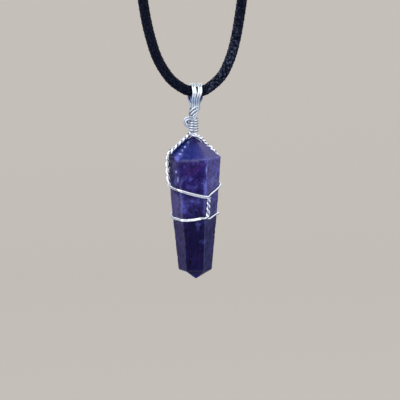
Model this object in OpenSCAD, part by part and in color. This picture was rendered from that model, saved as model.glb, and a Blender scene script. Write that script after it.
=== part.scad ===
// Amethyst wire wrap necklace: a six-sided amethyst point in a silver wire wrap,
// hung by a four-wire bail on a black braided cord.
// Millimetres, +Z up, the front of the stone towards -Y. The origin is the place
// where the necklace hangs, under the middle of the closed clasp.

/* [Cord] */
// Diameter of the braided cord
cord_d = 2.8; // [2.7:0.05:2.9]

/* [Clasp] */
// Length of the closed clasp, over both end caps
clasp_len = 34; // [32:1:36]
// Diameter of the clasp's barrel
clasp_d = 5; // [4.6:0.1:5.4]
// Diameter of the neck between the barrel and each end cap
clasp_neck_d = 4; // [3.8:0.1:4.4]
// Length of each end cap
cap_len = 8; // [6:0.5:9]

/* [Stone] */
// Width of the stone over its side corners at the shoulder
stone_w = 13.6; // [13.2:0.1:13.7]
// Width over the same corners at the belly, where the taper grows steeper
belly_w = 12.6; // [12.3:0.1:12.8]
// Width over the same corners at the foot
foot_w = 8.9; // [8:0.1:9.4]
// Height of the upper point, from shoulder to apex
crown_h = 5.9; // [5.8:0.1:6.1]
// Height of the sides from belly to shoulder
upper_h = 10.7; // [10:0.1:11.4]
// Height of the sides from foot to belly
lower_h = 18.8; // [18:0.1:20]
// Height of the lower point, from foot to tip
toe_h = 2.55; // [2:0.05:4]
// Depth of the apex below the middle of the cord in the bail
apex_drop = 11.4; // [11.4:0.1:11.8]

/* [Wire] */
// Diameter of the silver wire
wire_d = 0.64; // [0.6:0.01:0.66]
// Length of one full turn of a twisted pair
twist_pitch = 2.7; // [2.4:0.1:3.2]
// Gap between a wire and the stone under it
seat_gap = 0.1; // [0.08:0.01:0.14]

/* [Bail] */
// Gap between the cord and the wires that ride on it
bail_gap = 0.24; // [0.22:0.01:0.28]
// Distance between neighbouring wires over the cord
bail_step = 0.76; // [0.7:0.01:0.78]

/* [Hidden] */
smooth = 48;

cord_r = cord_d / 2;
wire_r = wire_d / 2;
cord_sides = 8;
wire_sides = 6;

// The pendant hangs from the lowest point of the cord, straight under the origin.
hang_drop = 171;
clasp_z = clasp_d / 2;

// Route of the cord as [x, z], z from the lowest point of its middle line: out of the
// clasp's left cap, down the left strand, through the bail and up the right strand.
cord_route = [
    [-clasp_len / 2, hang_drop + clasp_z], [-18.5, hang_drop + clasp_z], [-23, 172], [-26.5, 168.5], [-28, 163],
    [-27.5, 150], [-25.7, 126], [-23.4, 102], [-20.8, 78], [-18, 54], [-15.7, 36],
    [-14, 24], [-13.1, 18.5], [-11.9, 13.5], [-10.2, 8.5], [-8.4, 5.3], [-6.5, 2.9],
    [-4.4, 1.3], [-2.5, 0.3], [-1.1, 0], [1, 0], [2.3, 0.5],
    [4, 1.7], [6.2, 3.8], [8.6, 8.5], [10, 13.5], [10.9, 18.5], [11.7, 24],
    [13.4, 36], [15.9, 54], [19.1, 78], [22.3, 102], [25.2, 126], [27.5, 150],
    [28, 163], [26.5, 168.5], [23, 172], [18.5, hang_drop + clasp_z],
    [clasp_len / 2, hang_drop + clasp_z]];
// Longest distance between two rings of the cord's tube
ring_step = 2.5 * cord_d;

// Levels of the stone: depth below the bail, corner radius, middle in x
LEVEL = 0;
RADIUS = 1;
MIDDLE = 2;
shoulder_depth = apex_drop + crown_h;
belly_depth = shoulder_depth + upper_h;
foot_depth = belly_depth + lower_h;
side_levels = [
    [shoulder_depth, stone_w / 2, -0.53],
    [belly_depth, belly_w / 2, -0.66],
    [foot_depth, foot_w / 2, -0.46]];
apex = [-0.95, 0, -apex_drop];
tip = [-0.25, 0, -foot_depth - toe_h];
// Corners at the shoulder, at the belly and at the foot, as turns from the front (-Y) towards +X
corner_turns = [
    [-90, -44, 28.5, 90, 151, 216],
    [-90, -33, 27, 90, 151, 216],
    [-90, -31, 31, 90, 151, 216]];
CORNERS = 6;
// How far each corner of the shoulder stands above the shoulder's level
corner_rises = [2.1, -0.35, 0.1, 0.35, 0.8, 1.7];
// Rings of corners that cut the sides, from the shoulder to the foot
stone_rings = 7;

// The bail: wires side by side over the cord, and where their legs enter the neck
bail_r = cord_r + bail_gap + wire_r;
bail_xs = [for (i = [-1.5 : 1.5]) i * bail_step - 0.1];
bail_foot = -3.3;
front_feet = [-1.1, -0.6, -0.1, 0.4];
rear_feet = [-1.4, -0.8, -0.1, 0.6];
foot_y = 0.75;

// The neck under the bail: a twisted bundle, and the wire wound round it
neck_line = [[-0.35, 0, -3.75], [-0.6, 0, -6], [-0.8, 0, -8], [-0.95, 0, -10.3]];
neck_strands = 6;
neck_r = 0.95;
neck_pitch = 7;
coil_r = 1.25;
coil_turns = 5;
coil_top = -6.9;
coil_step = 0.66;
curl_line = [[-0.9, -1.25, -6.6], [-2.2, -1.2, -6.5], [-3.1, -1.1, -6.9], [-3.5, -0.9, -7.7],
             [-3.2, -0.7, -8.6], [-2.4, -0.6, -9.2], [-1.3, -0.8, -9.5]];

// The twisted pairs that run down the shoulders of the stone
pair_r = 0.27;
left_line = [[-1.96, -0.14, -11.2], [-2.74, -0.48, -11.9], [-4.06, -0.98, -13.06], [-5.62, -1.56, -14.43],
             [-6.88, -2.3, -15.68], [-7.32, -1.9, -16.4], [-7.58, -1.35, -17.15], [-7.77, -0.62, -18.6],
             [-7.78, -0.42, -19.94], [-7.68, -0.55, -21.24], [-7.5, -0.86, -22.7], [-7.3, -1.2, -23.6]];
right_line = [[-0.75, -0.78, -11.15], [-0.08, -0.74, -11.56], [0.55, -0.36, -11.82], [1.12, 0.3, -12.18],
              [1.65, 1.1, -12.77], [2.18, 2, -13.53], [2.81, 2.8, -14.36], [3.55, 2.9, -14.87],
              [4.16, 3, -15.46], [4.71, 3.5, -16.14], [5.14, 3.6, -16.78], [5.3, 3.8, -17.83],
              [5, 4, -20.5], [4.9, 4, -22.3]];

// The bands round the stone, as [turn from the front, depth below the bail]
pair_half_step = 0.29;
upper_front = [[-86, 24.85], [-60, 25], [-36, 25.2], [-15, 25.8], [5, 26.3], [20, 26.7], [27, 26.9], [36, 27]];
upper_round = [[35, 27], [47, 26.35], [58, 25.95], [71, 25.5], [80, 25.1], [91, 24.2], [104, 23.6], [125, 23.5],
               [151, 23.7], [180, 24], [217, 24.3], [240, 24.5], [261, 24.7]];
lower_round = [[34, 32.85], [47, 32.9], [61, 32.6], [77, 32.2], [91, 31.85], [120, 31.7], [151, 31.7],
               [180, 31.7], [217, 31.8], [245, 31.9], [269, 32.3], [285, 33], [304, 33], [327, 33.05],
               [342, 33.1], [360, 32.9], [376, 32.6], [388, 32.6]];
drop_turn = 35;
drop_top = 27.8;
drop_foot = 32.1;

function unit(v) = v / norm(v);

// Direction of the smooth curve at point i, weighted by the lengths on each side
function slope(p, i) =
    let (n = len(p) - 1, back = p[i] - p[max(i - 1, 0)], ahead = p[min(i + 1, n)] - p[i])
    i == 0 ? unit(ahead) : i == n ? unit(back)
    : unit(unit(back) * norm(ahead) + unit(ahead) * norm(back));

// Point at share t of the way from point i to the next
function on_curve(p, i, t) =
    let (span = norm(p[i + 1] - p[i]), a = slope(p, i) * span, b = slope(p, i + 1) * span,
         t2 = t * t, t3 = t2 * t)
    p[i] * (2 * t3 - 3 * t2 + 1) + a * (t3 - 2 * t2 + t) + p[i + 1] * (3 * t2 - 2 * t3) + b * (t3 - t2);

// A smooth curve through the points, cut into steps no longer than step
function curve(p, step) =
    [for (i = [0 : len(p) - 2])
        let (cuts = ceil(norm(p[i + 1] - p[i]) / step))
        for (k = [0 : cuts - 1]) on_curve(p, i, k / cuts),
     p[len(p) - 1]];

function tangent(p, i) = unit(p[min(i + 1, len(p) - 1)] - p[max(i - 1, 0)]);
function square_to(v, t) = unit(v - t * (v * t));
// Directions square to a path that don't turn round it
function side_dirs(p) =
    let (first = tangent(p, 0), guess = abs(first.x) > 0.9 ? [0, 1, 0] : [1, 0, 0])
    [for (i = 0, v = square_to(guess, first); i < len(p);
          i = i + 1, v = square_to(v, tangent(p, min(i, len(p) - 1)))) v];
function run_lengths(p) =
    [for (i = 0, s = 0; i < len(p);
          i = i + 1, s = i < len(p) ? s + norm(p[i] - p[i - 1]) : s) s];
// One strand of a twist that follows a path
function strand(p, r, pitch, phase) =
    let (side = side_dirs(p), run = run_lengths(p))
    [for (i = [0 : len(p) - 1])
        let (turn = 360 * run[i] / pitch + phase)
        p[i] + r * (side[i] * cos(turn) + cross(tangent(p, i), side[i]) * sin(turn))];

// Which pair of levels a depth on the stone's sides lies between, or beside
function level_over(depth) = depth < belly_depth ? 0 : 1;
function level_share(depth) =
    let (i = level_over(depth))
    (depth - side_levels[i][LEVEL]) / (side_levels[i + 1][LEVEL] - side_levels[i][LEVEL]);
// A row of values, one for each level, read at a depth
function at_depth(values, depth) =
    let (i = level_over(depth))
    values[i] + (values[i + 1] - values[i]) * level_share(depth);
function side_radius(depth) = at_depth([for (level = side_levels) level[RADIUS]], depth);
function side_middle(depth) = at_depth([for (level = side_levels) level[MIDDLE]], depth);
function side_turns(depth) =
    [for (k = [0 : CORNERS - 1]) at_depth([for (row = corner_turns) row[k]], max(depth, shoulder_depth))];
// Corner k of the stone at a depth
function stone_corner(k, depth) =
    let (r = side_radius(depth), a = side_turns(depth)[k])
    [side_middle(depth) + r * sin(a), -r * cos(a), -depth];
// Distance from the stone's middle to a wall that stands off its sides by gap
function wall_at(a, depth, gap) =
    let (turns = side_turns(depth), r = side_radius(depth))
    min([for (k = [0 : CORNERS - 1])
        let (p = turns[k], q = turns[(k + 1) % CORNERS],
             half = (q - p + (q < p ? 360 : 0)) / 2, lean = cos(a - p - half))
        lean > 0.3 ? (r * cos(half) + gap) / lean : 99]);
function round_stone(a, depth, gap) =
    let (r = wall_at(a, depth, gap))
    [side_middle(depth) + r * sin(a), -r * cos(a), -depth];
// A wire laid round the stone through [turn, depth] rows, moved down by shift
function laid(rows, gap, shift = 0) =
    [for (i = [0 : len(rows) - 2])
        let (cuts = ceil((rows[i + 1][0] - rows[i][0]) / 9))
        for (k = [0 : cuts - 1])
            let (at = rows[i] + (rows[i + 1] - rows[i]) * k / cuts)
            round_stone(at[0], at[1] + shift, gap),
     let (end = rows[len(rows) - 1]) round_stone(end[0], end[1] + shift, gap)];

// A round bar that follows a path, with flat ends square to it
module tube(p, r, sides) {
    side = side_dirs(p);
    points = [for (i = [0 : len(p) - 1]) for (j = [0 : sides - 1])
        p[i] + r * (side[i] * cos(360 * j / sides) + cross(tangent(p, i), side[i]) * sin(360 * j / sides))];
    walls = [for (i = [0 : len(p) - 2]) for (j = [0 : sides - 1])
        let (a = i * sides + j, b = i * sides + (j + 1) % sides)
        each [[a, a + sides, b + sides], [a, b + sides, b]]];
    polyhedron(points, concat(walls, [[for (j = [0 : sides - 1]) j]],
        [[for (j = [sides - 1 : -1 : 0]) (len(p) - 1) * sides + j]]));
}

module wire(p) {
    tube(p, wire_r, wire_sides);
}

// Two wires twisted together along a path
module twisted_pair(p) {
    line = curve(p, twist_pitch / 8);
    for (phase = [0, 180])
        wire(strand(line, pair_r, twist_pitch, phase));
}

// Places a shape that is drawn from the middle of the bail
module at_bail() {
    translate([0, 0, -hang_drop])
        children();
}

module cord() {
    route = curve([for (p = cord_route) [p[0], 0, p[1]]], ring_step);
    color("#17171c")
        at_bail()
            tube(route, cord_r, cord_sides);
}

module clasp() {
    cap_r = cord_r + 0.7;
    neck_r = clasp_neck_d / 2;
    half = clasp_len / 2;
    barrel = half - cap_len - 1;
    color("silver")
        translate([0, 0, clasp_z])
            rotate([0, 90, 0])
                rotate_extrude($fn = smooth)
                    polygon([[0, -half], [cap_r - 0.3, -half], [cap_r, -half + 0.3], [cap_r, -half + cap_len],
                             [neck_r - 0.2, -barrel], [clasp_d / 2 - 0.4, -barrel], [clasp_d / 2, -barrel + 0.4],
                             [clasp_d / 2, barrel - 0.4], [clasp_d / 2 - 0.4, barrel], [neck_r - 0.2, barrel],
                             [cap_r, half - cap_len], [cap_r, half - 0.3], [cap_r - 0.3, half], [0, half]]);
}

// One wire of the bail: a half ring over the cord with a leg in front and one behind
module bail_wire(x, front_x, rear_x) {
    leg_r = wire_r - 0.01;
    translate([x, 0, 0])
        rotate([90, 0, 90])
            rotate_extrude(angle = 180, $fn = smooth)
                translate([bail_r, 0])
                    circle(wire_r);
    for (leg = [[-1, front_x], [1, rear_x]])
        tube(curve([[x, leg[0] * bail_r, 0.1], [x, leg[0] * bail_r, -0.2], [(x + leg[1]) / 2, leg[0] * 1.5, -2],
                    [leg[1], leg[0] * foot_y, bail_foot]], 0.6), leg_r, 8);
}

module bail() {
    color("silver")
        at_bail()
            for (i = [0 : 3])
                bail_wire(bail_xs[i], front_feet[i], rear_feet[i]);
}

module neck_wrap() {
    line = curve(neck_line, 0.6);
    coil = [for (k = [0 : coil_turns * 12])
        let (share = k / 12, turn = share * 360)
        [-0.85 + coil_r * cos(turn), coil_r * sin(turn), coil_top - share * coil_step]];
    color("silver")
        at_bail() {
            tube(line, neck_r - 0.2, 8);
            for (k = [0 : neck_strands - 1])
                wire(strand(line, neck_r, neck_pitch, k * 360 / neck_strands));
            wire(coil);
            wire(curve(curl_line, 0.5));
        }
}

module stone() {
    n = CORNERS;
    tops = [for (rise = corner_rises) shoulder_depth - rise];
    rings = [for (i = [0 : stone_rings - 1]) for (k = [0 : n - 1])
        stone_corner(k, tops[k] + (foot_depth - tops[k]) * i / (stone_rings - 1))];
    first_end = len(rings);
    last_row = first_end - n;
    crown = [for (k = [0 : n - 1]) [first_end, (k + 1) % n, k]];
    walls = [for (row = [0 : n : last_row - n]) for (k = [0 : n - 1])
        let (a = row + k, b = row + (k + 1) % n)
        each [[a, b, b + n], [a, b + n, a + n]]];
    toe = [for (k = [0 : n - 1]) [first_end + 1, last_row + k, last_row + (k + 1) % n]];
    color("#3a2f78")
        at_bail()
            polyhedron(concat(rings, [apex, tip]), concat(crown, walls, toe));
}

module left_twist() {
    color("silver")
        at_bail()
            twisted_pair(left_line);
}

module right_twist() {
    color("silver")
        at_bail()
            twisted_pair(right_line);
}

module upper_band() {
    gap = wire_r + seat_gap;
    color("silver")
        at_bail() {
            for (shift = [-pair_half_step, pair_half_step])
                wire(laid(upper_front, gap, shift));
            wire(laid(upper_round, gap));
        }
}

module front_twist() {
    gap = wire_r + pair_r + seat_gap;
    color("silver")
        at_bail()
            twisted_pair([for (depth = [drop_top, (drop_top + drop_foot) / 2, drop_foot])
                round_stone(drop_turn, depth, gap)]);
}

module lower_band() {
    color("silver")
        at_bail()
            wire(laid(lower_round, wire_r + seat_gap));
}

cord();
clasp();
bail();
neck_wrap();
stone();
left_twist();
right_twist();
upper_band();
front_twist();
lower_band();
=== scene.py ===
import enum
import logging
import math
from dataclasses import dataclass

import bmesh
import bpy
import numpy as np
from mathutils import Matrix, Vector, noise


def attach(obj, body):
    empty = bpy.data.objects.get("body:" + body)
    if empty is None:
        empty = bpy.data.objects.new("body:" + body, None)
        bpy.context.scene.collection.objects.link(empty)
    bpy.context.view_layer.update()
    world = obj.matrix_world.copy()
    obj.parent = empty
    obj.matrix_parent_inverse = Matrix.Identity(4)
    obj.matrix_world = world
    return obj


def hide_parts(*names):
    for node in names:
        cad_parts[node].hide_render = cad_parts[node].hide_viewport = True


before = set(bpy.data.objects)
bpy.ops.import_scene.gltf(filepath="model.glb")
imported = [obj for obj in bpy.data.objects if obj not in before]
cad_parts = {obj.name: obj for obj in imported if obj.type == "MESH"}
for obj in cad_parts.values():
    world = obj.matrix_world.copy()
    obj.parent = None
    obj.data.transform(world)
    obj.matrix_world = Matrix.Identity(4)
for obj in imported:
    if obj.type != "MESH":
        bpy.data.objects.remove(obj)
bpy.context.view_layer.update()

# An amethyst point in a silver wire wrap, hung by a four-wire bail on a black braided cord.
# Metres, +Z up, the front of the stone towards -Y. The origin is the place where the
# necklace hangs, under the middle of its closed clasp.

log = logging.getLogger("necklace")

MM = 0.001
BAIL_Z = -171 * MM
WIRE_R = 0.31 * MM
FULL_TURN = 2 * math.pi
# Places along a wire's round end from its tip, as shares of its radius
TIP_SHARES = np.array([0.02, 0.15, 0.4, 0.7, 0.95])
# Points of a piece that are closer than this are taken as one
SAME_POINT = 0.0005 * MM

Pair = tuple[float, float]
Triple = tuple[float, float, float]
Colour = tuple[float, float, float, float]
Stretch = tuple[Pair, Pair]


class Body(enum.Enum):
    """The two bodies that move against each other."""

    LOOP = "loop"
    PENDANT = "pendant"


class Slot(enum.Enum):
    """The record's material slots."""

    CORD = "braided_cord"
    CLASP = "clasp_metal"
    STONE = "amethyst"
    WIRE = "silver_wire"


class Zone(enum.Enum):
    """The three zones of the stone, from the apex down."""

    CROWN = 0
    SIDES = 1
    TOE = 2


# Arithmetic on sockets, and the node trees

class Value:
    """A number that a socket carries, used in ordinary arithmetic."""

    def __init__(self, graph: "Graph", socket: bpy.types.NodeSocket | None) -> None:
        """Wrap one output socket of a graph."""
        self.graph = graph
        self.socket = socket

    def other(self, name: str) -> "Value":
        """Another output of the same node."""
        return Value(self.graph, self.socket.node.outputs[name])

    def _math(self, operation: str, *items: "Value | float") -> "Value":
        """Add a Math node on the items."""
        return self.graph.node("ShaderNodeMath", {"operation": operation}, dict(enumerate(items)))

    def __add__(self, item: "Value | float") -> "Value":
        """Sum, in either order."""
        return self._math("ADD", self, item)

    def __mul__(self, item: "Value | float") -> "Value":
        """Product, in either order."""
        return self._math("MULTIPLY", self, item)

    __radd__ = __add__
    __rmul__ = __mul__

    def __sub__(self, item: "Value | float") -> "Value":
        """Difference."""
        return self._math("SUBTRACT", self, item)

    def __rsub__(self, item: "Value | float") -> "Value":
        """Difference with the number first."""
        return self._math("SUBTRACT", item, self)

    def __truediv__(self, item: "Value | float") -> "Value":
        """Quotient."""
        return self._math("DIVIDE", self, item)

    def apply(self, operation: str, *items: "Value | float") -> "Value":
        """Any other operation of the Math node, such as a sine or a floor."""
        return self._math(operation, self, *items)

    def fade(self, low: float, high: float) -> "Value":
        """Smooth step: 0 at low, 1 at high, and held outside them. Low may be the larger."""
        return self.graph.node(
            "ShaderNodeMapRange", {"interpolation_type": "SMOOTHSTEP"},
            {"Value": self, "From Min": low, "From Max": high, "To Min": 0.0, "To Max": 1.0})

    def between(self, rise: Pair, fall: Pair) -> "Value":
        """1 inside a stretch: it rises from 0 over the first pair and falls over the second."""
        return self.fade(*rise) * self.fade(fall[1], fall[0])


class Graph:
    """A node tree that is filled from Python."""

    def __init__(self, tree: bpy.types.NodeTree) -> None:
        """Start from an existing tree."""
        self.tree = tree

    def node(self, kind: str, settings: dict | None = None, sockets: dict | None = None,
             out: int | str = 0) -> Value:
        """Add one node.

        Args:
            kind: The node's type.
            settings: The node's own properties, set first.
            sockets: A number, colour, socket or Value for each input, by name or place.
            out: The output that is wanted.

        Returns:
            That output, or an empty Value where the node has none.
        """
        node = self.tree.nodes.new(kind)
        for key, item in (settings or {}).items():
            setattr(node, key, item)
        for key, item in (sockets or {}).items():
            self._plug(item, node.inputs[key])
        return Value(self, node.outputs[out] if len(node.outputs) else None)

    def _plug(self, item: object, socket: bpy.types.NodeSocket) -> None:
        """Link a Value or a socket to an input, or set the input to a constant."""
        if isinstance(item, Value):
            item = item.socket
        if isinstance(item, bpy.types.NodeSocket):
            self.tree.links.new(item, socket)
        else:
            socket.default_value = item

    def vector(self, operation: str, *items: object, out: int | str = 0) -> Value:
        """Add a Vector Math node; the second item of SCALE is a number."""
        places = {0: items[0], "Scale": items[1]} if operation == "SCALE" else dict(enumerate(items))
        return self.node("ShaderNodeVectorMath", {"operation": operation}, places, out)

    def axes(self, place: Value) -> tuple[Value, Value, Value]:
        """The x, y and z of a vector."""
        parts = self.node("ShaderNodeSeparateXYZ", sockets={"Vector": place})
        return parts, parts.other("Y"), parts.other("Z")

    def mix(self, share: Value | float, low: object, high: object) -> Value:
        """Mix two colours; share 0 gives the first. The node's colour sockets go by place only."""
        return self.node("ShaderNodeMix", {"data_type": "RGBA"}, {0: share, 6: low, 7: high}, out=2)


class Surface(Graph):
    """A material's node tree, read in millimetres from the middle of the bail."""

    def __init__(self, name: str) -> None:
        """Make an empty material."""
        self.material = bpy.data.materials.new(name)
        self.material.use_nodes = True
        super().__init__(self.material.node_tree)
        self.tree.nodes.clear()

    def spot(self, scale: Triple = (1, 1, 1)) -> Value:
        """The place on the object, in millimetres from the bail, stretched by scale."""
        place = self.node("ShaderNodeTexCoord", out="Object")
        return self.node("ShaderNodeMapping", sockets={
            "Vector": place, "Location": (0, 0, -BAIL_Z / MM * scale[2]),
            "Scale": tuple(part / MM for part in scale)})

    def slanted(self, lean: float, reach: Triple) -> Value:
        """The place for marks that lean over towards +X by an angle, and reach so far each way."""
        return self.node("ShaderNodeMapping", {"vector_type": "TEXTURE"}, {
            "Vector": self.spot(), "Rotation": (0, lean, 0), "Scale": reach})

    def away(self, spot: Value, middle: Triple, reach: Triple) -> Value:
        """Distance from the middle of an ellipsoid; it is 1 on the ellipsoid itself."""
        offset = self.vector("DIVIDE", self.vector("SUBTRACT", spot, middle), reach)
        return self.vector("LENGTH", offset, out="Value")

    def mark(self, name: str) -> Value:
        """A number that the mesh carries at each of its points."""
        return self.node("ShaderNodeAttribute", {"attribute_name": name}, out="Fac")

    def noise(self, where: Value, scale: float, detail: float = 3, rough: float = 0.5,
              warp: float = 0) -> Value:
        """Cloudy noise from about 0.25 to 0.75."""
        return self.node("ShaderNodeTexNoise", sockets={
            "Vector": where, "Scale": scale, "Detail": detail, "Roughness": rough, "Distortion": warp})

    def bump(self, height: Value, depth: float, strength: float = 1) -> Value:
        """A normal that leans with height; depth is the height of 1, in metres."""
        return self.node("ShaderNodeBump", sockets={
            "Height": height, "Distance": depth, "Strength": strength})

    def finish(self, sockets: dict) -> bpy.types.Material:
        """Close the tree with a Principled shader.

        Args:
            sockets: The shader's inputs, by name.

        Returns:
            The finished material.
        """
        shader = self.node("ShaderNodeBsdfPrincipled", sockets=sockets)
        self.node("ShaderNodeOutputMaterial", sockets={"Surface": shader})
        return self.material


class Recipe(Graph):
    """A geometry node tree with named inputs, run once to make a plain mesh."""

    # The kinds of the inputs that aren't plain numbers
    kinds = {"Geometry": "NodeSocketGeometry", "Finish": "NodeSocketMaterial", "Sides": "NodeSocketInt",
             "Strands": "NodeSocketInt", "Strands Each Way": "NodeSocketInt"}

    def __init__(self, name: str) -> None:
        """Make a tree that takes a curve in and gives geometry out."""
        super().__init__(bpy.data.node_groups.new(name, "GeometryNodeTree"))
        self.keys: dict[str, str] = {}
        self.tree.interface.new_socket("Geometry", in_out="OUTPUT", socket_type="NodeSocketGeometry")
        self.entry = self.tree.nodes.new("NodeGroupInput")
        self.line, = self.inputs("Geometry")

    def inputs(self, *names: str) -> list[Value]:
        """Add named inputs to the tree."""
        for name in names:
            kind = self.kinds.get(name, "NodeSocketFloat")
            socket = self.tree.interface.new_socket(name, in_out="INPUT", socket_type=kind)
            self.keys[name] = socket.identifier
        return [Value(self, self.entry.outputs[name]) for name in names]

    def noise(self, where: Value, wave: float, seed: Value) -> Value:
        """Smooth noise vectors round nothing, with a wave length in metres."""
        cloud = self.node("ShaderNodeTexNoise", {"noise_dimensions": "4D"},
                          {"Vector": where, "W": seed, "Scale": 1 / wave, "Detail": 1.0}, "Color")
        return self.vector("SUBTRACT", cloud, (0.5, 0.5, 0.5))

    def moved(self, line: object, offset: Value) -> Value:
        """Move a line's points by an offset."""
        return self.node("GeometryNodeSetPosition", sockets={"Geometry": line, "Offset": offset})

    def marked(self, line: Value, name: str, measure: str) -> Value:
        """Store a measure of the line, Length or Factor, at its points under a name."""
        return self.node("GeometryNodeStoreNamedAttribute", {"data_type": "FLOAT", "domain": "POINT"}, {
            "Geometry": line, "Name": name, "Value": self.node("GeometryNodeSplineParameter", out=measure)})

    def ring(self, sides: Value, radius: Value | float) -> Value:
        """A ring to sweep along a line."""
        return self.node("GeometryNodeCurvePrimitiveCircle", sockets={
            "Resolution": sides, "Radius": radius})

    def swept(self, line: Value, ring: Value, scale: Value | float) -> Value:
        """A ring swept along a line, closed at both ends."""
        return self.node("GeometryNodeCurveToMesh", sockets={
            "Curve": line, "Profile Curve": ring, "Scale": scale, "Fill Caps": True})

    def round_bar(self, line: Value, radius: Value, sides: Value) -> Value:
        """A round bar along a line, thinned where the line's own radius says."""
        return self.swept(line, self.ring(sides, radius), self.node("GeometryNodeInputRadius"))

    def around_line(self, angle: Value) -> Value:
        """The direction square to the line at an angle about it, from the line's own normal."""
        normal = self.node("GeometryNodeInputNormal")
        across = self.vector("CROSS_PRODUCT", self.node("GeometryNodeInputTangent"), normal)
        return self.vector("ADD", self.vector("SCALE", normal, angle.apply("COSINE")),
                           self.vector("SCALE", across, angle.apply("SINE")))

    def close(self, mesh: Value, finish: Value) -> None:
        """End the tree: shade smooth, realize the instances and set the material."""
        smooth = self.node("GeometryNodeSetShadeSmooth", sockets={"Geometry": mesh})
        real = self.node("GeometryNodeRealizeInstances", sockets={"Geometry": smooth})
        dressed = self.node("GeometryNodeSetMaterial", sockets={"Geometry": real, "Material": finish})
        self.node("NodeGroupOutput", sockets={0: dressed})

    def run(self, name: str, runs: list["Run"], values: dict) -> bpy.types.Object:
        """Grow a mesh from middle lines.

        Args:
            name: Name of the finished piece.
            runs: The middle lines.
            values: A value for each named input.

        Returns:
            A plain mesh object at the origin, with its faces outwards.
        """
        guide = curve_of(name + "_line", runs)
        modifier = guide.modifiers.new("grow", "NODES")
        modifier.node_group = self.tree
        for key, item in values.items():
            modifier[self.keys[key]] = item
        depsgraph = bpy.context.evaluated_depsgraph_get()
        mesh = bpy.data.meshes.new_from_object(guide.evaluated_get(depsgraph), depsgraph=depsgraph)
        guide.modifiers.clear()
        bpy.data.objects.remove(guide)
        face_outwards(mesh)
        mesh.name = name
        return add_object(name, mesh)


# Lines, and meshes made from them

@dataclass
class Run:
    """The middle line of one wire: points, thickness factors and turns about the line."""

    points: np.ndarray
    swell: np.ndarray
    turn: np.ndarray


def unit(vector: np.ndarray) -> np.ndarray:
    """The vector at length 1."""
    return vector / np.linalg.norm(vector)


def from_bail(rows: list) -> np.ndarray:
    """Points given in millimetres from the middle of the bail, in metres in the frame."""
    return np.array(rows, float) * MM + (0, 0, BAIL_Z)


def smooth_path(points: np.ndarray, step: float) -> np.ndarray:
    """Smooth curve through points, as the part's own cord is drawn.

    Args:
        points: The points that the curve passes through.
        step: The longest distance between two points of the result.

    Returns:
        The points of the curve.
    """
    p = np.asarray(points, float)
    last = len(p) - 1
    slopes = []
    for i in range(len(p)):
        back, ahead = p[i] - p[max(i - 1, 0)], p[min(i + 1, last)] - p[i]
        if i in (0, last):
            slopes.append(unit(ahead if i == 0 else back))
        else:
            slopes.append(unit(unit(back) * np.linalg.norm(ahead) + unit(ahead) * np.linalg.norm(back)))
    curve = []
    for i in range(last):
        span = np.linalg.norm(p[i + 1] - p[i])
        cuts = max(1, math.ceil(span / step))
        for t in np.arange(cuts) / cuts:
            t2, t3 = t * t, t * t * t
            curve.append(p[i] * (2 * t3 - 3 * t2 + 1) + slopes[i] * span * (t3 - 2 * t2 + t)
                         + p[i + 1] * (3 * t2 - 2 * t3) + slopes[i + 1] * span * (t3 - t2))
    return np.array(curve + [p[last]])


def lengths_along(points: np.ndarray) -> np.ndarray:
    """Distance along a line at each of its points."""
    return np.concatenate([[0], np.cumsum(np.linalg.norm(np.diff(points, axis=0), axis=1))])


def side_dirs(points: np.ndarray) -> np.ndarray:
    """Directions square to a line that don't turn round it."""
    last = len(points) - 1
    tangents = [unit(points[min(i + 1, last)] - points[max(i - 1, 0)]) for i in range(last + 1)]
    nearly_along_x = abs(tangents[0][0]) > 0.9
    guess = np.array([0.0, 1.0, 0.0] if nearly_along_x else [1.0, 0.0, 0.0])
    sides = []
    for tangent in tangents:
        guess = unit(guess - tangent * guess.dot(tangent))
        sides.append(guess)
    return np.array(sides)


def strand_round(points: np.ndarray, lay: np.ndarray, turn: np.ndarray) -> np.ndarray:
    """One strand that winds round a middle line.

    Args:
        points: The middle line.
        lay: Distance of the strand from the line, at each point.
        turn: The strand's angle about the line, at each point.

    Returns:
        The strand's own middle line.
    """
    sides = side_dirs(points)
    tangents = np.gradient(points, axis=0)
    tangents /= np.linalg.norm(tangents, axis=1)[:, None]
    across = np.cross(tangents, sides)
    return points + lay[:, None] * (sides * np.cos(turn)[:, None] + across * np.sin(turn)[:, None])


def plain_run(points: np.ndarray, wire_r: float = WIRE_R, rounded: bool = True) -> Run:
    """A wire's run with round ends.

    Args:
        points: The middle line.
        wire_r: The wire's radius, which sets how long the round ends are.
        rounded: False leaves the ends flat.

    Returns:
        The run, without any turn about its line.
    """
    points = np.asarray(points, float)
    swell = np.ones(len(points))
    if rounded:
        short = 1 - TIP_SHARES
        starts = points[0] + (unit(points[0] - points[1]) * wire_r)[None] * short[:, None]
        ends = points[-1] + (unit(points[-1] - points[-2]) * wire_r)[None] * short[::-1, None]
        tips = np.sqrt(1 - short ** 2)
        points = np.concatenate([starts, points, ends])
        swell = np.concatenate([tips, swell, tips[::-1]])
    return Run(points, swell, np.zeros(len(points)))


def curve_of(name: str, runs: list[Run]) -> bpy.types.Object:
    """A curve object with one straight-edged spline for each run."""
    data = bpy.data.curves.new(name, "CURVE")
    data.dimensions = "3D"
    for run in runs:
        spline = data.splines.new("POLY")
        spline.points.add(len(run.points) - 1)
        spline.points.foreach_set("co", np.column_stack([run.points, np.ones(len(run.points))]).ravel())
        spline.points.foreach_set("radius", run.swell)
        spline.points.foreach_set("tilt", run.turn)
    return add_object(name, data)


def add_object(name: str, data: bpy.types.ID) -> bpy.types.Object:
    """A new object at the origin, in the scene."""
    made = bpy.data.objects.new(name, data)
    bpy.context.scene.collection.objects.link(made)
    return made


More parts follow.
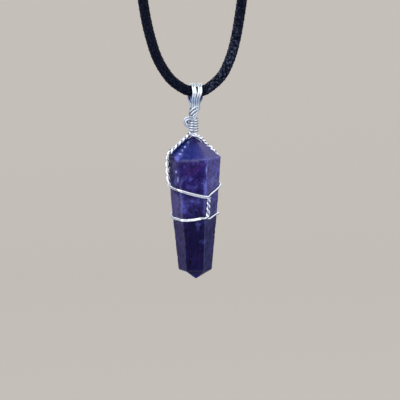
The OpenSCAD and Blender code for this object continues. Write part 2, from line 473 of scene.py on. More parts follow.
def face_outwards(mesh: bpy.types.Mesh) -> None:
    """Merge doubled points and turn every face of a closed mesh outwards."""
    work = bmesh.new()
    work.from_mesh(mesh)
    bmesh.ops.remove_doubles(work, verts=work.verts, dist=SAME_POINT)
    bmesh.ops.recalc_face_normals(work, faces=work.faces)
    work.to_mesh(mesh)
    work.free()


def mesh_of(name: str, points: np.ndarray, faces: list, finish: bpy.types.Material,
            marks: dict[str, np.ndarray] | None = None) -> bpy.types.Object:
    """A smooth mesh object in one material.

    Args:
        name: Name of the object.
        points: Its points.
        faces: Its faces, as tuples of point numbers.
        finish: Its material.
        marks: Numbers that the mesh carries at its points, by name.

    Returns:
        The object, at the origin.
    """
    mesh = bpy.data.meshes.new(name)
    mesh.from_pydata([tuple(point) for point in points], [], faces)
    mesh.materials.append(finish)
    mesh.shade_smooth()
    for label, values in (marks or {}).items():
        mesh.attributes.new(label, "FLOAT", "POINT").data.foreach_set("value", values)
    face_outwards(mesh)
    return add_object(name, mesh)


def wrapped_faces(rows: int, columns: int) -> list[tuple[int, int, int, int]]:
    """Faces between rows of points that each go once round."""
    return [(i * columns + j, i * columns + (j + 1) % columns,
             (i + 1) * columns + (j + 1) % columns, (i + 1) * columns + j)
            for i in range(rows - 1) for j in range(columns)]


def lathe(name: str, profile: list[Pair], sides: int, finish: bpy.types.Material) -> bpy.types.Object:
    """A turned form round the Z axis.

    Args:
        name: Name of the object.
        profile: (radius, height) pairs from bottom to top; a radius of 0 closes an end.
        sides: Number of sides.
        finish: Its material.

    Returns:
        The mesh object.
    """
    angles = np.arange(sides) * FULL_TURN / sides
    points = [(r * math.cos(a), r * math.sin(a), z) for r, z in profile for a in angles]
    return mesh_of(name, np.array(points), wrapped_faces(len(profile), sides), finish)


def held_straight(profile: list[Pair], margin: float) -> list[Pair]:
    """Add points near both ends of each long straight, so that its shading stays straight too.

    Args:
        profile: The profile's points.
        margin: Distance of the added points from the ends.

    Returns:
        The profile with the added points.
    """
    held = [profile[0]]
    for start, end in zip(profile, profile[1:]):
        length = math.dist(start, end)
        if length > 4 * margin:
            held += [tuple(a + (b - a) * share for a, b in zip(start, end))
                     for share in (margin / length, 1 - margin / length)]
        held.append(end)
    return held


def hand_over(piece: bpy.types.Object, body: Body, slot: Slot, *nodes: str) -> None:
    """Let a piece ride its body and stand for its CAD nodes."""
    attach(piece, body.value)
    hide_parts(*nodes)
    log.info("%s: %d faces", piece.name, len(piece.data.polygons))


# The geometry recipes

def wire_recipe() -> Recipe:
    """Round wire along each line, hardly ever quite straight."""
    recipe = Recipe("round_wire")
    radius, sides, waver, seed, finish = recipe.inputs("Wire Radius", "Sides", "Waver", "Seed", "Finish")
    drift = recipe.noise(recipe.node("GeometryNodeInputPosition"), 3 * MM, seed)
    bent = recipe.moved(recipe.line, recipe.vector("SCALE", drift, waver))
    recipe.close(recipe.round_bar(bent, radius, sides), finish)
    return recipe


def twist_recipe() -> Recipe:
    """Wires twisted together round each line; the line's own turn sets how fast they twist."""
    recipe = Recipe("twisted_wires")
    strands, lay, radius, sides, waver, seed, finish = recipe.inputs(
        "Strands", "Lay Radius", "Wire Radius", "Sides", "Waver", "Seed", "Finish")
    copies = recipe.node("GeometryNodeDuplicateElements", {"domain": "SPLINE"},
                         {"Geometry": recipe.line, "Amount": strands})
    index = copies.other("Duplicate Index")
    drift = recipe.noise(recipe.node("GeometryNodeInputPosition"), 2 * MM, seed + index)
    outwards = recipe.around_line(index * FULL_TURN / strands)
    offset = recipe.vector("ADD", recipe.vector("SCALE", outwards, lay),
                           recipe.vector("SCALE", drift, waver))
    recipe.close(recipe.round_bar(recipe.moved(copies, offset), radius, sides), finish)
    return recipe


def braid_recipe() -> Recipe:
    """A tubular braid: flat strands wound both ways, each over one and under the next."""
    recipe = Recipe("round_braid")
    each_way, pitch, radius, lift, width, depth, core, sides, finish = recipe.inputs(
        "Strands Each Way", "Pitch", "Braid Radius", "Lift", "Strand Width", "Strand Depth",
        "Core Radius", "Sides", "Finish")
    copies = recipe.node("GeometryNodeDuplicateElements", {"domain": "SPLINE"},
                         {"Geometry": recipe.line, "Amount": each_way * 2})
    index = copies.other("Duplicate Index")
    way = 1 - 2 * index.apply("MODULO", 2)
    run = recipe.node("GeometryNodeSplineParameter", out="Length") * FULL_TURN / pitch
    angle = way * run + (index / 2).apply("FLOOR") * FULL_TURN / each_way
    height = radius + way * lift * (run * each_way).apply("COSINE")
    # The direction outwards is kept from before the strands are moved, because moving them changes it
    kept = recipe.tree.nodes.new("GeometryNodeCaptureAttribute")
    kept.capture_items.new("VECTOR", "Outwards")
    recipe.tree.links.new(copies.socket, kept.inputs["Geometry"])
    outwards = recipe.around_line(angle)
    recipe.tree.links.new(outwards.socket, kept.inputs["Outwards"])
    laid = recipe.moved(kept.outputs["Geometry"], recipe.vector("SCALE", outwards, height))
    turned = recipe.node("GeometryNodeSetCurveNormal", {"mode": "FREE"},
                         {"Curve": laid, "Normal": kept.outputs["Outwards"]})
    flat = recipe.node("GeometryNodeTransform", sockets={
        "Geometry": recipe.marked(recipe.ring(sides, 1.0), "across", "Factor"),
        "Scale": recipe.node("ShaderNodeCombineXYZ", sockets={"X": depth, "Y": width, "Z": 1.0})})
    strands = recipe.swept(recipe.marked(turned, "along", "Length"), flat, 1.0)
    inner = recipe.round_bar(recipe.line, core, sides)
    joined = recipe.node("GeometryNodeJoinGeometry", sockets={"Geometry": inner})
    recipe.tree.links.new(strands.socket, joined.socket.node.inputs["Geometry"])
    recipe.close(joined, finish)
    return recipe


# The finishes

def linear(red: float, green: float, blue: float) -> Colour:
    """A colour as seen on a screen, from 0 to 255, in the numbers that shaders use."""
    parts = [c / 255 / 12.92 if c / 255 <= 0.04045 else ((c / 255 + 0.055) / 1.055) ** 2.4
             for c in (red, green, blue)]
    return (*parts, 1.0)


@dataclass(frozen=True)
class InnerShade:
    """The side of a rope that lies against the stone, where painted deep shade goes, in millimetres from
    the bail's middle.
    """

    inwards: Triple
    middle: float
    x_range: Pair
    z_range: Pair
    share: float


@dataclass(frozen=True)
class SilverFinish:
    """Bright silver-plated wire, with faint draw marks and handling scuffs.

    The tints are painted reflection and painted shade: a greener top on the bail, and darker wire in
    the neck, on the bail's legs, towards the back, on the ropes' sides against the stone and on the
    front twist. They go by the place in millimetres from the bail's middle: a pair is where a tint
    sets in, and a stretch is where it sets in and stops.
    """

    name: str = "silver_wire"
    colour: Colour = (0.93, 0.94, 0.965, 1)
    dulled: Colour = (0.80, 0.82, 0.86, 1)
    # Painted reflection: a darker, greener tint on the top of the bail
    bail_top_reflection: Colour = (0.78, 0.88, 0.88, 1)
    # Painted shade in the neck: where the wires crowd, on the bail's legs and towards the back
    crowd_shade: Colour = (0.58, 0.62, 0.67, 1)
    legs: Colour = (0.4, 0.47, 0.57, 1)
    shaded: Colour = (0.27, 0.32, 0.41, 1)
    # Painted deep shade at the back of the neck and on the ropes' sides against the stone
    deep_shade: Colour = (0.12, 0.13, 0.24, 1)
    # Painted shade: a darker, greyer tint on the front twist
    twist_shade: Colour = (0.58, 0.58, 0.69, 1)
    bail_top_reflection_z: Pair = (-0.4, 0.8)
    legs_z: Pair = (-3.6, -2.3)
    shaded_y: Pair = (-0.5, 1.0)
    deep_shade_y: Pair = (0.9, 1.4)
    neck_z: Stretch = ((-11.4, -10.4), (-1.7, -0.4))
    front_twist_x: Stretch = ((1.9, 2.2), (3.9, 4.4))
    front_twist_z: Stretch = ((-31.9, -31.3), (-27.2, -26.4))
    inner_shades: tuple = (
        InnerShade((0.674, 0, -0.738), 6.85, (-8, -1.7), (-15.4, -10.8), 0.95),
        InnerShade((1, 0, 0), -7.5, (-8, -6.6), (-23.5, -15.6), 0.7),
        InnerShade((-0.482, 0, -0.876), 10.1, (-0.9, 1.6), (-13.2, -11), 0.8),
        InnerShade((-0.754, 0, -0.6565), 7.1, (1.5, 6), (-17, -12.5), 0.8))
    inner_soft: float = 0.35
    end_soft: float = 0.2
    polish: float = 0.13
    scuff: float = 0.12

    def material(self) -> bpy.types.Material:
        """Build the material."""
        s = Surface(self.name)
        spot = s.spot()
        x, y, z = s.axes(spot)
        cloud = s.noise(spot, 0.9, 4, 0.6)
        scuffs = s.noise(spot, 7, 3, 0.7).fade(0.52, 0.7)
        grain = s.noise(s.spot((30, 30, 4)), 1, 2)
        # Painted shade in the neck: darker where the wires crowd, on the bail's legs and towards the back
        neck = s.mix(z.fade(*self.legs_z), self.crowd_shade, self.legs)
        neck = s.mix(y.fade(*self.shaded_y), neck, self.shaded)
        neck = s.mix(y.fade(*self.deep_shade_y), neck, self.deep_shade)
        colour = s.mix(cloud.fade(0.45, 0.7), self.colour, self.dulled)
        colour = s.mix(z.between(*self.neck_z), colour, neck)
        # Painted reflection: the top of the bail is tinted darker and greener
        colour = s.mix(z.fade(*self.bail_top_reflection_z), colour, self.bail_top_reflection)
        # Painted shade: the front twist is tinted darker and greyer
        front_twist = x.between(*self.front_twist_x) * z.between(*self.front_twist_z)
        colour = s.mix(front_twist, colour, self.twist_shade)
        # Painted deep shade on the ropes' sides that lie against the stone
        for side in self.inner_shades:
            inwards = s.vector("DOT_PRODUCT", spot, side.inwards, out="Value")
            share = inwards.fade(side.middle, side.middle + self.inner_soft) * side.share
            for value, ends in ((x, side.x_range), (z, side.z_range)):
                share = share * value.between(*[(end - self.end_soft, end + self.end_soft) for end in ends])
            colour = s.mix(share, colour, self.deep_shade)
        return s.finish({
            "Base Color": colour,
            "Metallic": 1.0,
            "Roughness": self.polish + scuffs * self.scuff,
            "Normal": s.bump(grain, 0.004 * MM, 0.5)})


@dataclass(frozen=True)
class ClaspFinish:
    """Silver-coloured clasp metal, brushed round its length."""

    name: str = "clasp_metal"
    colour: Colour = (0.78, 0.79, 0.81, 1)
    dulled: Colour = (0.72, 0.73, 0.75, 1)

    def material(self) -> bpy.types.Material:
        """Build the material."""
        s = Surface(self.name)
        brushed = s.noise(s.spot((9, 0.3, 0.3)), 1, 2, 0.5)
        cloud = s.noise(s.spot(), 0.35, 4)
        return s.finish({
            "Base Color": s.mix(cloud.fade(0.4, 0.7), self.colour, self.dulled),
            "Metallic": 1.0,
            "Roughness": 0.24 + brushed * 0.1,
            "Normal": s.bump(brushed, 0.001 * MM, 0.4)})


@dataclass(frozen=True)
class CordFinish:
    """Waxed black braid: smooth flat strands of fine filaments, a little worn on top, with a painted blue
    sheen on the right.
    """

    name: str = "braided_cord"
    colour: Colour = (0.0015, 0.003, 0.01, 1)
    worn: Colour = (0.005, 0.007, 0.017, 1)
    painted_sheen: Colour = (0.009, 0.016, 0.05, 1)
    filaments_along: float = 900
    filaments_across: float = 34
    # Shares of wax: everywhere, more of it on the right, and still more low on the right; on the right, the
    # wax also lays a painted blue sheen into the colour
    wax_shares: Triple = (0.14, 0.26, 0.6)
    right_x: Pair = (1, 4)
    low_z: Pair = (20, 6)

    def material(self) -> bpy.types.Material:
        """Build the material."""
        s = Surface(self.name)
        lay = s.node("ShaderNodeCombineXYZ", sockets={
            "X": s.mark("along") * self.filaments_along,
            "Y": s.mark("across") * self.filaments_across, "Z": 0.0})
        filaments = s.noise(lay, 1, 3, 0.6)
        spot = s.spot()
        x, _, z = s.axes(spot)
        wear = s.noise(spot, 0.5, 4, 0.6)
        plain, right_more, low_more = self.wax_shares
        right = x.fade(*self.right_x)
        wax_and_sheen = s.noise(spot, 1.9, 2).fade(0.47, 0.62)
        wax_and_sheen = wax_and_sheen * (plain + right * (right_more + z.fade(*self.low_z) * low_more))
        colour = s.mix(wear.fade(0.4, 0.75), self.colour, self.worn)
        # Painted sheen: the waxed places on the right are tinted blue
        return s.finish({
            "Base Color": s.mix(wax_and_sheen * right, colour, self.painted_sheen),
            "Roughness": 0.2 + filaments * 0.22,
            "Specular IOR Level": 0.03,
            "Coat Weight": wax_and_sheen,
            "Coat Roughness": 0.12,
            "Normal": s.bump(filaments, 0.02 * MM, 0.6)})


@dataclass(frozen=True)
class Patch:
    """A cloud of another colour in the stone, or a painted glint: an ellipsoid, in millimetres from the
    bail's middle.
    """

    middle: Triple
    reach: Triple
    colour: Colour
    strength: float
    broken: bool = True


MIST = linear(104, 108, 196)
PLUM = linear(52, 22, 84)
INK = linear(20, 13, 62)
# Painted glint colour, for bright spots on the edges and faces
PAINTED_GLINT = linear(176, 180, 250)
PATCHES = (
    Patch((-1.3, -5.5, -20.2), (2.6, 3.0, 2.4), PLUM, 0.75),
    Patch((0.5, -5.5, -22.5), (1.2, 3.0, 3.4), INK, 0.8),
    Patch((1.0, -5.5, -18.6), (1.6, 3.0, 1.0), PLUM, 0.5),
    Patch((-1.2, -5.5, -24.8), (2.4, 3.0, 0.9), MIST, 0.25),
    Patch((-5.15, -4.2, -17.1), (0.78, 2.6, 0.95), MIST, 0.8, False),
    Patch((6.3, 0.0, -16.7), (0.7, 3.0, 0.8), linear(40, 24, 60), 0.6, False),
    Patch((-4.2, -4.4, -16.75), (0.6, 2.0, 0.35), INK, 0.6, False),
    Patch((-4.5, -3.8, -16.2), (1.2, 2.6, 1.0), MIST, 0.4, False),
    Patch((-5.3, -3.5, -20.6), (0.36, 2.0, 0.5), PAINTED_GLINT, 0.85, False),
    Patch((-4.9, -4.0, -22.6), (0.36, 2.0, 0.85), PAINTED_GLINT, 0.85, False),
    # A painted glint, pale mauve
    Patch((-5.7, -3.0, -18.3), (0.25, 2.0, 0.7), linear(110, 92, 166), 0.5, False),
    Patch((2.45, -5.0, -20.0), (0.25, 2.0, 1.5), PAINTED_GLINT, 0.45, False),
    Patch((2.1, -5.0, -24.2), (0.6, 2.0, 2.8), MIST, 0.7),
    Patch((-2.3, -1.8, -13.1), (0.4, 2.0, 0.4), PAINTED_GLINT, 0.45, False),
    Patch((-3.1, -2.6, -14.25), (0.32, 2.0, 0.32), PAINTED_GLINT, 1.0, False),
    Patch((-3.8, -3.2, -15.1), (0.35, 2.0, 0.4), PAINTED_GLINT, 0.4, False),
    Patch((-4.4, -3.9, -16.0), (0.62, 2.0, 0.24), PAINTED_GLINT, 0.95, False),
    Patch((-3.3, -5.0, -29.5), (1.2, 2.4, 2.6), MIST, 0.35),
    Patch((-1.0, -5.0, -28.0), (2.4, 2.4, 1.2), MIST, 0.3),
    Patch((0.4, -5.5, -30.8), (2.3, 2.4, 1.9), linear(18, 12, 48), 0.9),
    Patch((-0.8, -5.0, -17.9), (4.2, 2.4, 0.45), INK, 0.8, False),
    Patch((0.2, -5.0, -34.6), (0.7, 2.0, 1.4), MIST, 0.3),
    Patch((1.7, -4.4, -38.8), (0.9, 2.0, 0.6), MIST, 0.22),
    Patch((0.0, -4.6, -42.8), (1.1, 2.0, 1.3), PLUM, 0.3),
    Patch((-0.6, -4.6, -39.3), (2.4, 2.4, 2.6), linear(11, 7, 42), 0.65),
    Patch((-0.3, -1.0, -48.9), (3.5, 6.0, 1.9), linear(36, 24, 112), 0.8, False),
    Patch((5.5, -2.5, -20.5), (1.6, 2.4, 2.6), MIST, 0.25),
    Patch((4.8, -2.6, -22.9), (1.7, 2.5, 1.3), linear(104, 114, 156), 0.9),
    Patch((-1.3, -5.5, -18.9), (1.5, 3.0, 1.5), linear(28, 14, 70), 0.6, False),
    Patch((-5.6, -3.2, -23.4), (0.9, 2.4, 0.9), MIST, 0.3, False),
    Patch((4.4, 3.5, -22.0), (1.2, 2.0, 4.5), MIST, 0.5),
    Patch((-3.5, 4.6, -20.5), (2.2, 1.4, 3.0), MIST, 0.4),
    Patch((0.8, 4.4, -33.0), (1.6, 1.6, 3.6), PLUM, 0.4),
)


@dataclass(frozen=True)
class Tones:
    """The stone's colours on one of its sides, from the crown down, with the painted light, shade and
    reflection of that side.
    """

    crown: Colour
    upper: Colour
    middle: Colour
    lower: Colour


class StoneSurface(Surface):
    """The stone's node tree, with what its colours go by: places, and marks that the mesh carries."""

    def __init__(self, name: str) -> None:
        """Make an empty material with the nodes for places and marks."""
        super().__init__(name)
        self.place = self.spot()
        self.x, _, self.z = self.axes(self.place)
        # The height with a drift, so that no colour ends at one level
        self.level = self.z + (self.noise(self.place, 0.35, 3) - 0.5) * 6
        self.side = self.mark("side")
        self.crown = self.mark("crown")
        self.edge_far = self.mark("edge_far") / MM
        self.tufts = self.noise(self.spot((1, 1, 0.7)), 0.62, 4, 0.6, 1.4)


@dataclass(frozen=True)
class AmethystFinish:
    """Polished amethyst: blue crown, violet body, near black foot and clouds, with painted light and shade
    on each side, painted glints, and soft painted highlights along the edges.
    """

    name: str = "amethyst"
    # Each side's tones are the stone's own colours with painted light, shade and reflection for that side
    left: Tones = Tones(linear(24, 36, 100), linear(22, 12, 78), linear(71, 67, 109), linear(48, 44, 81))
    front: Tones = Tones(linear(18, 28, 100), linear(32, 22, 80), linear(38, 31, 84), linear(20, 14, 54))
    right: Tones = Tones(linear(48, 38, 108), linear(77, 72, 125), linear(69, 69, 115), linear(41, 40, 80))
    # Painted reflection on the right of the front crown
    painted_crown_reflection: Colour = linear(66, 61, 119)
    apex: Colour = linear(14, 8, 70)
    veil: Colour = linear(92, 74, 160)
    # Painted highlight colour for the edges
    edge: Colour = linear(120, 122, 206)
    calm_middle: Triple = (-1.4, -5.5, -19.8)
    calm_reach: Triple = (2.2, 4.0, 2.6)
    fibre_lean: float = math.radians(42)
    fibre_reach: Triple = (0.62, 2.2, 2.6)
    stir: float = 2.4
    darkest: float = 0.3

    def material(self) -> bpy.types.Material:
        """Build the material."""
        s = StoneSurface(self.name)
        colour = self._tufted(s, self._clouded(s, self._plain(s)))
        colour = s.vector("SCALE", colour, self._shade(s))
        # Painted highlights along the edges
        colour = s.mix(self._painted_edge_highlight(s), colour, self.edge)
        return s.finish({
            "Base Color": colour,
            "Roughness": self._roughness(s),
            "IOR": 1.54,
            "Specular IOR Level": 0.32,
            "Normal": s.bump(s.noise(s.place, 0.8, 3), 0.02 * MM, 0.35)})

    def _plain(self, s: StoneSurface) -> Value:
        """The colours of the left, front and right sides, with their painted light and shade, without
        clouds.
        """
        left, front, right = [self._side(s, tones) for tones in (self.left, self.front, self.right)]
        return s.mix(s.side.fade(-0.3, -0.7), s.mix(s.side.fade(0.3, 0.7), front, right), left)

    def _side(self, s: StoneSurface, tones: Tones) -> Value:
        """The colour of one side, from the apex down; the front one gets a painted reflection on the right
        of its crown.
        """
        colour = s.mix(s.level.fade(-25, -27.5), tones.upper, tones.middle)
        colour = s.mix(s.level.fade(-30.5, -35.5), colour, tones.lower)
        top = tones.crown
        if tones is self.front:
            # Painted reflection: the front crown grows lighter and more violet towards the right
            top = s.mix(s.x.fade(-2.0, 3.6), top, self.painted_crown_reflection)
            top = s.mix(s.z.fade(-14.4, -12.9), top, self.apex)
        return s.mix(s.crown, colour, top)

    def _clouded(self, s: StoneSurface, colour: Value) -> Value:
        """The colour with the patches laid over it; broken ones are stirred and tufted."""
        swirl = s.vector("SUBTRACT", s.noise(s.place, 0.7, 3).other("Color"), (0.5, 0.5, 0.5))
        stirred = s.vector("ADD", s.place, s.vector("SCALE", swirl, self.stir))
        for patch in PATCHES:
            where = stirred if patch.broken else s.place
            share = s.away(where, patch.middle, patch.reach).fade(1.15, 0.2) * patch.strength
            if patch.broken:
                share = share * s.tufts.fade(0.3, 0.55)
            colour = s.mix(share, colour, patch.colour)
        return colour

    def _tufted(self, s: StoneSurface, colour: Value) -> Value:
        """The colour with pale tufts and slanting fibres, fainter in the calm dark patch in front."""
        lively = s.away(s.place, self.calm_middle, self.calm_reach).fade(0.5, 1.1)
        tufts = s.tufts.fade(0.52, 0.74) * s.z.fade(-36, -24) * (0.34 - s.crown * 0.2)
        colour = s.mix(tufts * (0.25 + lively * 0.75), colour, MIST)
        fibres = s.noise(s.slanted(self.fibre_lean, self.fibre_reach), 1, 3, 0.55, 0.6)
        fibres = fibres.fade(0.54, 0.7) * s.z.fade(-33, -29) * (1 - s.crown)
        return s.mix(fibres * (0.12 + lively * 0.16), colour, self.veil)

    def _shade(self, s: StoneSurface) -> Value:
        """How light the colour is: mottled all over, and streaked lengthwise towards the foot."""
        streaks = s.noise(s.spot((1.6, 1.6, 0.35)), 1.3, 4, 0.6, 0.6) - 0.5
        mottle = s.noise(s.place, 0.75, 4, 0.62, 1.0) - 0.5
        shade = 1 + mottle * (1 - s.crown * 0.5) * 2.6 + streaks * s.z.fade(-20, -38) * 2.4
        return shade.apply("MAXIMUM", self.darkest)

    def _painted_edge_highlight(self, s: StoneSurface) -> Value:
        """A thin painted highlight along the shoulder and a soft painted highlight band beside the upper
        edges.
        """
        thin = s.edge_far.fade(0.2, 0.03) * s.z.between((-19, -17.6), (-16.8, -15.8))
        thin = thin * s.noise(s.place, 1.6, 3).fade(0.35, 0.6)
        patchy = s.noise(s.spot((1, 1, 0.35)), 0.5, 3).fade(0.4, 0.62)
        upper_left = s.x.fade(-3.2, -3.8) * s.z.fade(-25, -24)
        band = s.edge_far.fade(0.9, 0.1) * s.z.between((-34, -30), (-18, -15)) * patchy
        return thin * 0.13 + band * (1 - upper_left * 0.8) * 0.2

    def _roughness(self, s: StoneSurface) -> Value:
        """Polished, with smears, rough worn edges and a duller upper left."""
        smear = s.noise(s.place, 1.1, 4, 0.6).fade(0.4, 0.75)
        worn = s.edge_far.fade(0.3, 0.05)
        dull = s.side.fade(-0.3, -0.7) * s.z.fade(-25.5, -24) * (1 - s.crown)
        return 0.06 + smear * 0.12 + worn * 0.25 + dull * 0.25


@dataclass(frozen=True)
class StageFinish:
    """Matt pale paper for the floor and the surround, lit evenly from behind."""

    name: str = "studio_paper"
    colour: Colour = (0.27, 0.255, 0.235, 1)
    glow: Colour = linear(152, 144, 132)
    glow_strength: float = 0.9

    def material(self) -> bpy.types.Material:
        """Build the material."""
        s = Surface(self.name)
        return s.finish({"Base Color": self.colour, "Roughness": 0.95, "Specular IOR Level": 0.1,
                         "Emission Color": self.glow, "Emission Strength": self.glow_strength})


# The studio

@dataclass(frozen=True)
class Lamp:
    """A square soft light that faces the pendant.

    Its offset is from the middle of the stone, and its size is the length of a side. Its glare is
    how bright its face is; white paper in full light is about 1.
    """

    name: str
    offset: Triple
    size: float
    glare: float
    colour: Triple


@dataclass
class Studio:
    """Camera, soft lights, pale floor and surround."""

    elevation: float = math.radians(7)
    distance: float = 0.37
    view_width: float = 0.104
    view_middle: Pair = (0.81 * MM, -28.2 * MM)
    sensor: float = 36.0
    stone_middle_z: float = BAIL_Z - 25 * MM
    floor_z: float = -0.42
    floor_r: float = 0.5
    room_r: float = 1.6
    cove_r: float = 0.5
    wall_top: float = 1.1
    wall_sides: int = 64
    lamps: tuple = (
        Lamp("key_light", (-0.6, -0.68, 0.55), 1.1, 1.22, (1.0, 0.99, 0.97)),
        Lamp("fill_light", (0.9, -0.3, 0.1), 0.5, 0.9, (0.93, 0.95, 1.0)),
        Lamp("top_light", (0.05, 0.15, 0.95), 0.7, 0.5, (0.82, 0.9, 1.0)),
        Lamp("rear_light", (0.6, 0.7, 0.5), 0.6, 0.4, (0.95, 0.97, 1.0)))

    def build(self) -> None:
        """Set up everything that isn't the necklace."""
        self.camera()
        self.surround()
        for lamp in self.lamps:
            self.light(lamp)
        self.room()
        bpy.context.scene.view_settings.view_transform = "Standard"

    def camera(self) -> None:
        """Look at the pendant from a little above level, as the photograph does."""
        right, up = self.view_middle
        lift, level = math.sin(self.elevation), math.cos(self.elevation)
        target = Vector((right, up * lift, BAIL_Z + up * level))
        back = Vector((0, -level, lift))
        data = bpy.data.cameras.new("camera")
        data.sensor_width = self.sensor
        data.lens = self.sensor * self.distance / self.view_width
        data.clip_start = 0.01
        camera = add_object("camera", data)
        camera.location = target + back * self.distance
        camera.rotation_euler = (-back).to_track_quat("-Z", "Y").to_euler()
        bpy.context.scene.camera = camera

    def surround(self) -> None:
        """A floor that sweeps up into a round wall."""
        bends = [math.radians(a) for a in range(0, 91, 10)]
        profile = [(0, self.floor_z), (self.floor_r, self.floor_z)]
        profile += [(self.room_r - self.cove_r + self.cove_r * math.sin(a),
                     self.floor_z + self.cove_r * (1 - math.cos(a))) for a in bends]
        profile += [(self.room_r, self.wall_top)]
        floor = lathe("studio_floor", profile, self.wall_sides, StageFinish().material())
        floor.visible_glossy = False
        floor.visible_diffuse = False
        floor.visible_shadow = False

    def light(self, lamp: Lamp) -> None:
        """Hang one light."""
        data = bpy.data.lights.new(lamp.name, "AREA")
        data.size = lamp.size
        data.energy = lamp.glare * math.pi * lamp.size * lamp.size
        data.color = lamp.colour
        hung = add_object(lamp.name, data)
        hung.location = Vector(lamp.offset) + Vector((0, 0, self.stone_middle_z))
        hung.rotation_euler = (-Vector(lamp.offset)).to_track_quat("-Z", "Y").to_euler()

    def room(self) -> None:
        """The dim room that the silver reflects: tones laid over one another by direction."""
        world = bpy.data.worlds.new("studio")
        world.use_nodes = True
        world.node_tree.nodes.clear()
        g = Graph(world.node_tree)
        x, y, z = g.axes(g.node("ShaderNodeTexCoord", out="Generated"))
        dark_corner = y.fade(-0.1, 0.4) * x.fade(0.1, -0.3) * z.fade(0.42, 0.58)
        dim_corner = y.fade(0.3, 0.6) * x.fade(0.05, 0.3) * z.fade(0.33, 0.48)
        high = z.fade(-0.05, 0.25) * (1 - dark_corner * 0.85) * (1 - dim_corner * 0.6)
        overhead = z.fade(0.86, 0.97)
        sides = x.apply("ABSOLUTE").fade(0.18, 0.5) * y.fade(0.3, 0.0) * z.fade(-0.75, -0.3)
        paper = y.fade(-0.2, 0.5) * z.between((-0.55, -0.3), (-0.05, 0.1))
        far_left = y.fade(0.68, 0.8) * x.fade(0.15, -0.1) * z.between((-0.6, -0.4), (0.0, 0.2))
        card = y.fade(-0.25, -0.5) * z.fade(-0.4, -0.5)
        desk = y.fade(-0.1, -0.4) * z.fade(-0.56, -0.66)
        tone = (0.1, 0.11, 0.15, 1)
        for share, colour in (
                (high, (1.02, 1.08, 1.24, 1)), (overhead, (0.35, 0.38, 0.46, 1)),
                (sides, (1.1, 1.15, 1.25, 1)), (paper, (0.14, 0.13, 0.15, 1)),
                (far_left, (0.9, 0.93, 1.05, 1)), (card, (1.15, 1.18, 1.32, 1)),
                (desk, (0.75, 0.8, 0.92, 1))):
            tone = g.mix(share, tone, colour)
        g.node("ShaderNodeOutputWorld", sockets={
            "Surface": g.node("ShaderNodeBackground", sockets={"Color": tone, "Strength": 1.0})})
        bpy.context.scene.world = world


# The necklace

@dataclass
class BraidedCord:
    """The cord: a whole loop from one cap of the clasp to the other, through the bail."""

    recipe: Recipe
    finish: bpy.types.Material
    strands_each_way: int = 8
    pitch: float = 14 * MM
    braid_r: float = 1.12 * MM
    lift: float = 0.1 * MM
    strand_width: float = 0.44 * MM
    strand_depth: float = 0.18 * MM
    core_r: float = 1.1 * MM
    strand_sides: int = 6
    fine_step: float = 0.26 * MM
    plain_step: float = 0.48 * MM
    fine_below: float = BAIL_Z + 40 * MM
    route_step: float = 1 * MM
    tuck: float = 1.5 * MM
    length: float = 0.371
    # The route as (x, z), z from the lowest point of the cord's middle line
    route: tuple = (
        (-0.017, 0.1735), (-0.0185, 0.1735), (-0.023, 0.172), (-0.0265, 0.1685), (-0.028, 0.163),
        (-0.0275, 0.15), (-0.0257, 0.126), (-0.0234, 0.102), (-0.0208, 0.078), (-0.018, 0.054),
        (-0.0157, 0.036), (-0.014, 0.024), (-0.0131, 0.0185), (-0.0119, 0.0135), (-0.0102, 0.0085),
        (-0.0084, 0.0053), (-0.0065, 0.0029), (-0.0044, 0.0013), (-0.0025, 0.0003), (-0.0011, 0),
        (0.001, 0), (0.0023, 0.0005), (0.004, 0.0017), (0.0062, 0.0038), (0.0086, 0.0085),
        (0.01, 0.0135), (0.0109, 0.0185), (0.0117, 0.024), (0.0134, 0.036), (0.0159, 0.054),
        (0.0191, 0.078), (0.0223, 0.102), (0.0252, 0.126), (0.0275, 0.15), (0.028, 0.163),
        (0.0265, 0.1685), (0.023, 0.172), (0.0185, 0.1735), (0.017, 0.1735))

    def middle_line(self) -> np.ndarray:
        """The cord's middle line, in the frame."""
        return smooth_path(np.array([(x, 0, z + BAIL_Z) for x, z in self.route]), self.route_step)

    def build(self) -> None:
        """Braid the cord along its route, and tuck its ends into the caps."""
        line = self.middle_line()
        ends = [line[0] + (self.tuck, 0, 0), line[-1] - (self.tuck, 0, 0)]
        tucked = np.vstack([ends[0], line, ends[1]])
        guide = self.even_steps(tucked)
        run = Run(guide, np.ones(len(guide)), np.zeros(len(guide)))
        piece = self.recipe.run("braided_cord", [run], {
            "Strands Each Way": self.strands_each_way, "Pitch": self.pitch, "Braid Radius": self.braid_r,
            "Lift": self.lift, "Strand Width": self.strand_width, "Strand Depth": self.strand_depth,
            "Core Radius": self.core_r, "Sides": self.strand_sides, "Finish": self.finish})
        hand_over(piece, Body.LOOP, Slot.CORD, "cord")

    def even_steps(self, line: np.ndarray) -> np.ndarray:
        """The line in even steps, finer where the pendant hangs."""
        places = lengths_along(line)
        at, marks = 0.0, []
        while at < places[-1]:
            marks.append(at)
            low = np.interp(at, places, line[:, 2]) < self.fine_below
            at += self.fine_step if low else self.plain_step
        marks.append(places[-1])
        return np.column_stack([np.interp(marks, places, line[:, k]) for k in range(3)])


